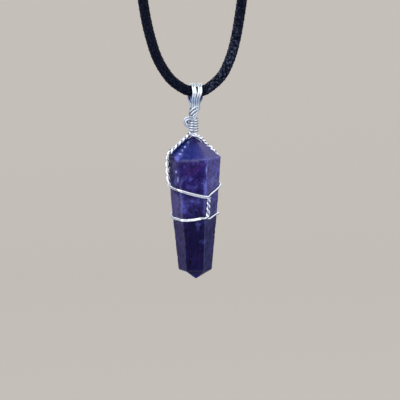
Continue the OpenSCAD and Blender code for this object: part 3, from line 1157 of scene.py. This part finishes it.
@dataclass
class Clasp:
    """The closed clasp at the nape: a turned barrel between two end caps."""

    finish: bpy.types.Material
    barrel_r: float = 2.5 * MM
    margin: float = 0.12 * MM
    sides: int = 64
    # Half of the profile from the hole in the cap in to the barrel, as (radius, place along the
    # axis) in millimetres: the mouth, its rounded edges, a groove, the neck and the barrel
    half_profile: tuple = (
        (0.02, 15), (1.5, 15), (1.5, 16.65), (1.62, 16.94), (1.85, 17), (2.02, 16.92), (2.1, 16.65),
        (2.1, 15), (1.98, 14.85), (1.98, 14.55), (2.1, 14.4), (2.1, 9.35), (2.0, 9.1), (1.8, 9),
        (1.8, 8), (2.15, 8), (2.4, 7.9), (2.5, 7.65), (2.5, 0.15), (2.4, 0.05))

    def build(self) -> None:
        """Turn the clasp and lay it along X."""
        half = [(r * MM, z * MM) for r, z in self.half_profile]
        profile = [(r, -z) for r, z in half] + half[::-1]
        piece = lathe("neck_clasp", held_straight(profile, self.margin), self.sides, self.finish)
        lift = Matrix.Translation((0, 0, self.barrel_r))
        piece.data.transform(lift @ Matrix.Rotation(math.pi / 2, 4, "Y"))
        hand_over(piece, Body.LOOP, Slot.CLASP, "clasp")


@dataclass
class WireWork:
    """Anything that is bent from silver wire."""

    recipe: Recipe
    finish: bpy.types.Material

    def bend(self, name: str, runs: list[Run], wire_r: float, seed: float, sides: int = 16,
             waver: float = 0.05 * MM, more: dict | None = None) -> None:
        """Grow a piece of wire work and hand it over.

        Args:
            name: Name of the piece: that of its CAD node, and one more word.
            runs: The middle lines of its wires.
            wire_r: The wires' radius.
            seed: Where their waver starts.
            sides: Number of sides of a wire.
            waver: How far a wire strays from its line.
            more: Values for the recipe's other inputs.
        """
        piece = self.recipe.run(name, runs, {
            "Wire Radius": wire_r, "Sides": sides, "Waver": waver, "Seed": seed, "Finish": self.finish,
            **(more or {})})
        hand_over(piece, Body.PENDANT, Slot.WIRE, name.rsplit("_", 1)[0])


@dataclass(frozen=True)
class BailWire:
    """How far across one wire of the bail runs, in millimetres from the bail's middle."""

    foot: float
    below: float
    front: float
    top: float
    rear: float
    rear_foot: float


@dataclass
class Bail(WireWork):
    """Four wires side by side over the cord, with legs that run down into the neck."""

    ring_r: float = 1.96
    wire_r: float = 0.28 * MM
    wires: tuple = (
        BailWire(-1.15, -1.15, -0.87, -1.4, -2.15, -1.6),
        BailWire(-0.62, -0.6, -0.3, -0.8, -1.6, -1.2),
        BailWire(-0.07, -0.02, 0.5, 0.48, 0.35, -0.2),
        BailWire(0.45, 0.55, 1.12, 1.12, 1.25, 0.5))
    # Places (y, z) of the legs: the front ones from the foot up, the rear ones from the top down
    front_legs: tuple = ((-0.7, -4.4), (-1.05, -3.4), (-1.6, -2.0))
    rear_legs: tuple = ((1.62, -1.8), (1.1, -3.4), (0.7, -4.4))
    step: float = 0.15 * MM

    def line(self, wire: BailWire) -> np.ndarray:
        """The middle line of one wire, from its front foot over the cord to its rear foot."""
        arc = [(0, wire.front), (45, (wire.front + wire.top) / 2), (90, wire.top),
               (135, (wire.top + wire.rear) / 2), (180, wire.rear)]
        over = [(x, -self.ring_r * math.cos(math.radians(a)), self.ring_r * math.sin(math.radians(a)))
                for a, x in arc]
        front = [(x, *leg) for x, leg in zip((wire.foot, wire.foot, wire.below), self.front_legs)]
        rear = [(x, *leg) for x, leg in zip((wire.rear, wire.rear_foot, wire.rear_foot), self.rear_legs)]
        return smooth_path(from_bail(front + over + rear), self.step)

    def build(self) -> None:
        """Bend the four wires."""
        runs = [plain_run(self.line(wire), self.wire_r) for wire in self.wires]
        self.bend("bail_wires", runs, self.wire_r, seed=1.0)


@dataclass
class NeckWrap(WireWork):
    """The twisted neck under the bail, the coil wound round it and the curled wire end.

    Its lines are in millimetres from the bail's middle. The bundle is wider by flare at the top,
    over flare_length; below tight_from it draws in by tight, over tight_length.
    """

    strands: int = 6
    pitch: float = 7 * MM
    lay: float = 0.88
    flare: float = 0.16
    flare_length: float = 2
    tight: float = 0.3
    tight_from: float = 2.4
    tight_length: float = 0.9
    coil_r: float = 1.08
    coil_middle: float = -0.95
    coil_turns: int = 5
    coil_points: int = 28
    coil_top: float = -6.9
    coil_step: float = 0.66
    neck: tuple = ((-0.35, 0, -3.6), (-0.62, 0, -4.4), (-0.9, 0, -5.5), (-0.95, 0, -8), (-0.95, 0, -10.3))
    wire_r: float = 0.285 * MM
    waver: float = 0.08 * MM
    # The curled wire end: its outer turn, its inner turn and the one behind
    curls: tuple = (
        ((-0.9, -1.15, -6.6), (-2.1, -1.2, -6.55), (-2.95, -1.1, -6.95), (-3.28, -0.95, -7.75),
         (-3.0, -0.8, -8.6), (-2.3, -0.7, -9.15), (-1.3, -0.8, -9.4)),
        ((-0.95, -1.3, -7.15), (-2.05, -1.4, -7.15), (-2.65, -1.3, -7.4), (-2.92, -1.15, -7.95),
         (-2.6, -0.95, -8.5), (-1.95, -0.9, -8.68), (-1.2, -0.9, -8.75)),
        ((-1.5, 1.4, -9.1), (-2.3, 1.45, -8.8), (-2.55, 1.45, -8.2), (-2.3, 1.45, -7.6), (-1.5, 1.4, -7.3)))
    step: float = 0.15 * MM
    core_step: float = 0.4 * MM
    curl_step: float = 0.12 * MM

    def bundle(self) -> list[Run]:
        """The strands of the neck, wider at the top where they meet the legs of the bail."""
        line = smooth_path(from_bail(self.neck), self.step)
        far = lengths_along(line)
        tight = np.clip((far / MM - self.tight_from) / self.tight_length, 0, 1)
        flare = np.clip(1 - far / (self.flare_length * MM), 0, 1)
        lay = (self.lay + self.flare * flare - self.tight * tight) * MM
        turn = far * FULL_TURN / self.pitch
        return [plain_run(strand_round(line, lay, turn + k * FULL_TURN / self.strands))
                for k in range(self.strands)]

    def coil(self) -> Run:
        """The wire wound round the bundle."""
        share = np.linspace(0, self.coil_turns, self.coil_turns * self.coil_points)
        turn = share * FULL_TURN
        points = np.column_stack([self.coil_middle + self.coil_r * np.cos(turn),
                                  self.coil_r * np.sin(turn), self.coil_top - share * self.coil_step])
        return plain_run(from_bail(points))

    def build(self) -> None:
        """Twist the neck and wind it."""
        core = plain_run(smooth_path(from_bail(self.neck), self.core_step))
        runs = self.bundle() + [self.coil(), core]
        runs += [plain_run(smooth_path(from_bail(line), self.curl_step)) for line in self.curls]
        self.bend("neck_wrap_wires", runs, self.wire_r, seed=2.0, sides=14, waver=self.waver)


@dataclass(frozen=True)
class StoneLevel:
    """One level of the stone, in millimetres: depth under the bail, corner radius, middle."""

    depth: float
    radius: float
    middle: float


@dataclass
class Stone:
    """The six-sided amethyst point, with worn edges and sides that bulge a little.

    All lengths are in millimetres, and places are taken from the bail's middle. Chips come from
    noise above chip_floor near the edges, and are only toe_chips as deep below chips_down_to; slow
    waves take the flatness out of the faces. Rows and columns lie at edge_steps from an edge and
    about face_step apart further in.
    """

    finish: bpy.types.Material
    # Turns of the corners from the front, at three depths
    corner_turns: tuple = (
        (-90, -44, 28.5, 90, 151, 216), (-90, -33, 27, 90, 151, 216), (-90, -31, 31, 90, 151, 216))
    turn_depths: tuple = (17.3, 28, 46.8)
    corner_tops: tuple = (15.2, 17.65, 17.2, 16.95, 16.5, 15.6)
    apex: tuple = (-0.95, 0, -11.4)
    top: StoneLevel = StoneLevel(15.3, 6.89, -0.5)
    belly: StoneLevel = StoneLevel(28, 6.3, -0.66)
    foot: StoneLevel = StoneLevel(46.8, 4.42, -0.46)
    tip: tuple = (-0.25, 0, -49.35)
    chips_down_to: float = -44.5
    # A place well inside, which tells a facet's outer side from its inner one
    inner_point: tuple = (-0.7, 0, -30)
    # Lengths of an edge that runs from the apex, along a side and to the tip
    zone_lengths: tuple = ((Zone.CROWN, 8.4), (Zone.SIDES, 30.5), (Zone.TOE, 5.2))
    bend_soft: float = 0.1
    edge_soft: float = 0.06
    edge_steps: tuple = (0, 0.04, 0.09, 0.16, 0.26, 0.42)
    face_step: float = 0.45
    # How far the sides' normals point up, and the least squared sine between two facets
    face_lean: float = -0.06
    least_slant: float = 0.02
    inset: float = 0.012
    chip_scale: float = 1.9
    chip_floor: float = 0.12
    chip_depth: float = 0.5
    chip_reach: float = 0.22
    toe_chips: float = 0.15
    wave_scale: float = 0.45
    wave_depth: float = 0.014
    wave_offset: tuple = (7, 3, 1)
    # How far the worn apex and tip lie above the sharp ones
    apex_rise: float = -0.08
    tip_rise: float = 0.05
    # The greatest distance from an edge that the mesh carries, and where the sides' widths are taken
    far_enough: float = 5
    width_depth: float = 20
    # Degrees between two points of a line laid round, and the least cosine at which a side counts
    turn_step: float = 2.5
    least_lean: float = 0.2
    # Which of the finish's sides each side takes its colours and painted light and shade from: -1 left, 0
    # front, 1 right
    side_tones: tuple = (-1, 0, 1, 1, 0, -1)

    def radius(self, depth: np.ndarray | float) -> np.ndarray:
        """Corner radius at a depth; the two tapers run softly into one another."""
        deep, wide = self.belly.depth, self.belly.radius
        tapers = [wide + (end.radius - wide) * (depth - deep) / (end.depth - deep)
                  for end in (self.top, self.foot)]
        return -self.bend_soft * np.logaddexp(-tapers[0] / self.bend_soft, -tapers[1] / self.bend_soft)

    def middle(self, depth: np.ndarray | float) -> np.ndarray:
        """Middle of the sides in x at a depth."""
        levels = (self.top, self.belly, self.foot)
        return np.interp(depth, [level.depth for level in levels], [level.middle for level in levels])

    def turn(self, k: int, depth: np.ndarray | float) -> np.ndarray:
        """Turn of corner k from the front at a depth, in radians."""
        return np.radians(np.interp(depth, self.turn_depths, [row[k % 6] for row in self.corner_turns]))

    def corner(self, k: int, depth: float) -> np.ndarray:
        """The edge under corner k, at a depth, in millimetres from the bail."""
        turn, radius = self.turn(k, depth), self.radius(depth)
        return np.array([self.middle(depth) + radius * np.sin(turn), -radius * np.cos(turn), -depth])

    def wall(self, k: int, depth: np.ndarray | float) -> tuple[np.ndarray, np.ndarray]:
        """Direction in which side k faces at a depth, and half the angle it takes up, in radians."""
        start = self.turn(k, depth)
        half = (self.turn(k + 1, depth) - start) % FULL_TURN / 2
        return start + half, half

    def starts(self, k: int) -> Pair:
        """Depths at which the two edges of side k start."""
        return self.corner_tops[k], self.corner_tops[(k + 1) % 6]

    def spread(self, length: float) -> np.ndarray:
        """Shares of an edge of that length: close together near both ends."""
        near = [step for step in self.edge_steps if step < length / 2]
        inner = max(2, round((length - 2 * near[-1]) / self.face_step))
        middle = np.linspace(near[-1], length - near[-1], inner + 1)[1:-1]
        return np.array(near + list(middle) + [length - step for step in reversed(near)]) / length

    def columns(self) -> list[tuple[int, float]]:
        """Columns of the mesh, as (side, share of its width) pairs."""
        corners = [self.corner(k, self.width_depth) for k in range(7)]
        widths = [np.linalg.norm(start - end) for start, end in zip(corners, corners[1:])]
        return [(k, share) for k, width in enumerate(widths) for share in self.spread(width)[:-1]]

    def rows(self) -> list[tuple[Zone, float]]:
        """Rows of the mesh from the apex down, as (zone, share of its height) pairs."""
        return [(zone, share) for zone, length in self.zone_lengths
                for share in (self.spread(length) if zone is Zone.SIDES else self.spread(length)[1:-1])]

    def grid(self) -> np.ndarray:
        """The sharp stone's surface points, as rows by columns by 3, from the apex down."""
        apex, tip = np.array(self.apex, float), np.array(self.tip, float)
        points = []
        for zone, share in self.rows():
            fall = {Zone.CROWN: 0.0, Zone.SIDES: share, Zone.TOE: 1.0}[zone]
            line = []
            for k, across in self.columns():
                left, right = [self.corner(k + i, start + (self.foot.depth - start) * fall)
                               for i, start in enumerate(self.starts(k))]
                edge = left + (right - left) * across
                start, goal, part = {Zone.CROWN: (apex, edge, share), Zone.SIDES: (edge, edge, 0.0),
                                     Zone.TOE: (edge, tip, share)}[zone]
                line.append(start + (goal - start) * part)
            points.append(line)
        return np.array(points)

    def depths_inside(self, points: np.ndarray) -> tuple[np.ndarray, np.ndarray]:
        """How far points lie behind each of the 18 facets, and the facets' outward normals."""
        depth = -points[..., 2]
        inside, normals = [], []
        for k in range(6):
            face, half = self.wall(k, depth)
            facing = self.wall(k, self.belly.depth)[0]
            normals.append(unit(np.array([math.sin(facing), -math.cos(facing), self.face_lean])))
            inside.append(self.radius(depth) * np.cos(half) - (
                (points[..., 0] - self.middle(depth)) * np.sin(face) - points[..., 1] * np.cos(face)))
            for end, (left, right) in ((self.apex, self.starts(k)), (self.tip, (self.foot.depth,) * 2)):
                a, b = self.corner(k, left), self.corner(k + 1, right)
                normal = unit(np.cross(b - a, np.array(end) - a))
                normal *= math.copysign(1, normal.dot(a - self.inner_point))
                normals.append(normal)
                inside.append(normal.dot(a) - points @ normal)
        return np.maximum(np.array(inside), 0), np.array(normals)

    def wear(self, place: Vector, far: float) -> float:
        """How deep chips and slow waves cut at a place that far from the nearest edge."""
        chip = max(0.0, noise.noise(place * self.chip_scale) - self.chip_floor) * self.chip_depth
        chip *= math.exp(-far / self.chip_reach)
        chip *= self.toe_chips if place.z < self.chips_down_to else 1
        return chip + self.wave_depth * noise.noise(place * self.wave_scale + Vector(self.wave_offset))

    def weathered(self, points: np.ndarray) -> tuple[np.ndarray, np.ndarray]:
        """Round and chip the edges and take the flatness out of the faces.

        Args:
            points: The sharp stone's surface points.

        Returns:
            The worn points, and each one's distance from the nearest edge.
        """
        inside, normals = self.depths_inside(points)
        weights = np.exp(-inside / self.edge_soft)
        outward = np.moveaxis(np.tensordot(normals, weights, axes=(0, 0)), 0, -1)
        outward /= np.linalg.norm(outward, axis=-1)[..., None]
        own = inside.argmin(axis=0)
        agree = (normals @ normals.T)[own].transpose(2, 0, 1)
        slant = np.sqrt(np.maximum(1 - agree ** 2, self.least_slant))
        far = inside / slant
        # A point's own facet has no edge with itself
        np.put_along_axis(far, own[None], math.inf, axis=0)
        far = far.min(axis=0)
        inset = self.edge_soft * np.log(weights.sum(axis=0)) + self.inset
        for index in np.ndindex(far.shape):
            inset[index] += self.wear(Vector(points[index]), far[index])
        return points - outward * inset[..., None], far

    def build(self) -> None:
        """Grind the stone."""
        points, far = self.weathered(self.grid())
        rows, columns = far.shape
        caps = [np.array(self.apex) + (0, 0, self.apex_rise), np.array(self.tip) + (0, 0, self.tip_rise)]
        top, bottom, last = rows * columns, rows * columns + 1, (rows - 1) * columns
        faces = wrapped_faces(rows, columns)
        faces += [(top, (j + 1) % columns, j) for j in range(columns)]
        faces += [(bottom, last + j, last + (j + 1) % columns) for j in range(columns)]
        crown = [float(zone is Zone.CROWN) for zone, _ in self.rows() for _ in range(columns)]
        tone = [float(self.side_tones[k]) for _ in range(rows) for k, _ in self.columns()]
        # Each mark ends with its values at the two caps
        marks = {"edge_far": np.append(np.minimum(far, self.far_enough).ravel() * MM, [0, 0]),
                 "crown": np.append(crown, [1, 0]), "side": np.append(tone, [0, 0])}
        cloud = from_bail(np.vstack([points.reshape(-1, 3), caps]))
        piece = mesh_of("amethyst_point", cloud, faces, self.finish, marks)
        hand_over(piece, Body.PENDANT, Slot.STONE, "stone")

    def around(self, turn: float, depth: float, gap: float, round_off: float = 0.1) -> np.ndarray:
        """A point that stands off the stone's sides by gap, all in millimetres and degrees.

        Args:
            turn: Turn from the front towards +X.
            depth: Depth under the bail.
            gap: Distance from the stone's surface.
            round_off: How far the corners are rounded off.

        Returns:
            The point, in millimetres from the bail's middle.
        """
        radius = float(self.radius(depth))
        reach = []
        for k in range(6):
            face, half = self.wall(k, depth)
            lean = math.cos(math.radians(turn) - face)
            if lean > self.least_lean:
                reach.append((radius * math.cos(half) + gap) / lean)
        near = min(reach)
        near -= round_off * math.log(sum(math.exp((near - far) / round_off) for far in reach))
        angle = math.radians(turn)
        middle = float(self.middle(depth))
        return np.array([middle + near * math.sin(angle), -near * math.cos(angle), -depth])

    def line_round(self, rows: tuple, gap: float, shift: float = 0, round_off: float = 0.1) -> np.ndarray:
        """A wire's line laid round the stone.

        Args:
            rows: (turn, depth) pairs, in degrees and millimetres.
            gap: Distance of the line from the stone's surface, in millimetres.
            shift: How much deeper the line lies, in millimetres.
            round_off: How far the corners are rounded off.

        Returns:
            The line, in metres in the frame.
        """
        turns = np.arange(rows[0][0], rows[-1][0], self.turn_step)
        plan = np.column_stack([turns, np.interp(turns, *zip(*rows))])
        return from_bail([self.around(turn, depth + shift, gap, round_off) for turn, depth in plan])


@dataclass
class TwistedPair(WireWork):
    """Two wires twisted together along a line, in millimetres from the bail's middle.

    The twist is left-handed: it leans like a backslash when it stands upright. Its pitches are in
    millimetres, and its phase is in degrees.
    """

    name: str
    line: tuple
    seed: float
    pitch_start: float = 2.9
    pitch_end: float = 2.9
    phase: float = 0
    wire_r: float = 0.29 * MM
    lay: float = 0.28 * MM
    step: float = 0.12 * MM

    def build(self) -> None:
        """Twist the pair."""
        points = smooth_path(from_bail(self.line), self.step)
        far = lengths_along(points)
        pitch = (self.pitch_start + (self.pitch_end - self.pitch_start) * far / far[-1]) * MM
        turn = np.concatenate([[0], np.cumsum(np.diff(far) / pitch[1:])]) * FULL_TURN
        run = plain_run(points, self.wire_r, rounded=False)
        run.turn = math.radians(self.phase) - turn
        self.bend(self.name, [run], self.wire_r, self.seed, sides=14,
                  more={"Strands": 2, "Lay Radius": self.lay})


LEFT_LINE = (
    (-1.4, -0.2, -10.6), (-1.98, -0.16, -11.17), (-2.76, -0.5, -11.87), (-4.06, -0.99, -13.05),
    (-5.62, -1.61, -14.42), (-6.85, -2.46, -15.62), (-7.3, -2.19, -16.45), (-7.43, -1.75, -17.2),
    (-7.58, -1.1, -18.6), (-7.58, -0.9, -19.94), (-7.5, -1.0, -21.24), (-7.38, -1.22, -22.7),
    (-7.12, -1.5, -24.1))
RIGHT_LINE = (
    (-1.3, -0.75, -10.8), (-0.75, -0.78, -11.15), (-0.08, -0.74, -11.56), (0.55, -0.36, -11.82),
    (1.12, 0.3, -12.18), (1.65, 1.1, -12.77), (2.18, 2.0, -13.53), (2.81, 2.8, -14.36),
    (3.55, 2.9, -14.87), (4.16, 3.0, -15.46), (4.71, 3.5, -16.14), (5.14, 3.6, -16.78),
    (5.3, 3.8, -17.83), (5.0, 4.0, -20.5), (4.9, 4.0, -22.3))
# The front twist's places on the stone, as (turn, depth), and how far it stands off
FRONT_PLACES = ((35, 27.2), (35, 29.4), (34, 31), (32, 32.2))
FRONT_SEAT = 0.66


@dataclass
class Bands(WireWork):
    """The wires that run round the stone: the upper band and the lower band."""

    stone: Stone
    seat_gap: float = 0.08
    wire_r: float = 0.29 * MM
    # Each line as (turn, depth) pairs, in degrees from the front and millimetres
    upper_front: tuple = (
        (-84, 24.65), (-62, 24.87), (-36, 25.2), (-15, 25.9), (5, 26.45), (20, 26.8), (27, 26.95),
        (36, 27.05))
    upper_round: tuple = (
        (35, 27), (47, 26.35), (58, 25.95), (71, 25.5), (80, 25.1), (91, 24.2), (104, 23.6), (125, 23.5),
        (151, 23.7), (180, 24), (217, 24.3), (240, 24.5), (261, 24.7))
    lower_round: tuple = (
        (29, 32.45), (36, 32.9), (45, 32.95), (56, 32.65), (75, 32.15), (91, 31.9), (120, 32.1),
        (151, 32), (180, 31.9), (217, 31.8), (245, 31.9), (269, 32.3), (285, 33), (304, 33),
        (327, 33.05), (342, 33.1), (360, 32.9), (376, 32.6), (388, 32.6))
    lower_front: tuple = (
        (275, 32.7), (285, 33), (304, 33), (327, 33.05), (342, 33.1), (360, 32.9), (376, 32.6))

    def lay(self, rows: tuple, gap: float = 0, shift: float = 0, round_off: float = 0.1,
            share: float = 1) -> Run:
        """Lay one wire round the stone.

        Args:
            rows: (turn, depth) pairs, in degrees and millimetres.
            gap: How much further out than its seat the wire lies, in millimetres.
            shift: How much deeper it lies, in millimetres.
            round_off: How far the corners are rounded off.
            share: Its thickness, as a share of the plain wire's.

        Returns:
            The wire's run.
        """
        seat = self.wire_r / MM + self.seat_gap
        run = plain_run(self.stone.line_round(rows, seat + gap, shift, round_off), self.wire_r)
        run.swell *= share
        return run

    def build(self) -> None:
        """Lay both bands."""
        self.bend("upper_band_wires", [
            self.lay(self.upper_front, gap=0.44, shift=-0.14, round_off=0.35, share=0.88),
            self.lay(self.upper_front, gap=0.12, shift=0.22, round_off=0.35, share=0.8),
            self.lay(self.upper_round)], self.wire_r, seed=3.0)
        self.bend("lower_band_wire", [
            self.lay(self.lower_round, shift=-0.08),
            self.lay(self.lower_front, gap=0.12, shift=0.16, share=0.86)], self.wire_r, seed=4.0)


def build_necklace() -> None:
    """Build every piece in order, from the cord down to the lower band."""
    wire, twist, braid = wire_recipe(), twist_recipe(), braid_recipe()
    silver = SilverFinish().material()
    BraidedCord(braid, CordFinish().material()).build()
    Clasp(ClaspFinish().material()).build()
    Bail(wire, silver).build()
    NeckWrap(wire, silver).build()
    stone = Stone(AmethystFinish().material())
    stone.build()
    TwistedPair(twist, silver, "left_twist_wires", LEFT_LINE, seed=5.0, pitch_start=2.3, pitch_end=4.2,
                phase=72, wire_r=0.28 * MM, lay=0.36 * MM).build()
    TwistedPair(twist, silver, "right_twist_wires", RIGHT_LINE, seed=6.0).build()
    Bands(wire, silver, stone).build()
    front_line = tuple(tuple(stone.around(turn, depth, FRONT_SEAT)) for turn, depth in FRONT_PLACES)
    TwistedPair(twist, silver, "front_twist_wires", front_line, seed=7.0, wire_r=0.28 * MM,
                lay=0.33 * MM).build()


def main() -> None:
    """Set up the studio and build the necklace."""
    logging.basicConfig(level=logging.INFO, format="%(message)s")
    Studio().build()
    build_necklace()


if __name__ == "__main__":
    main()
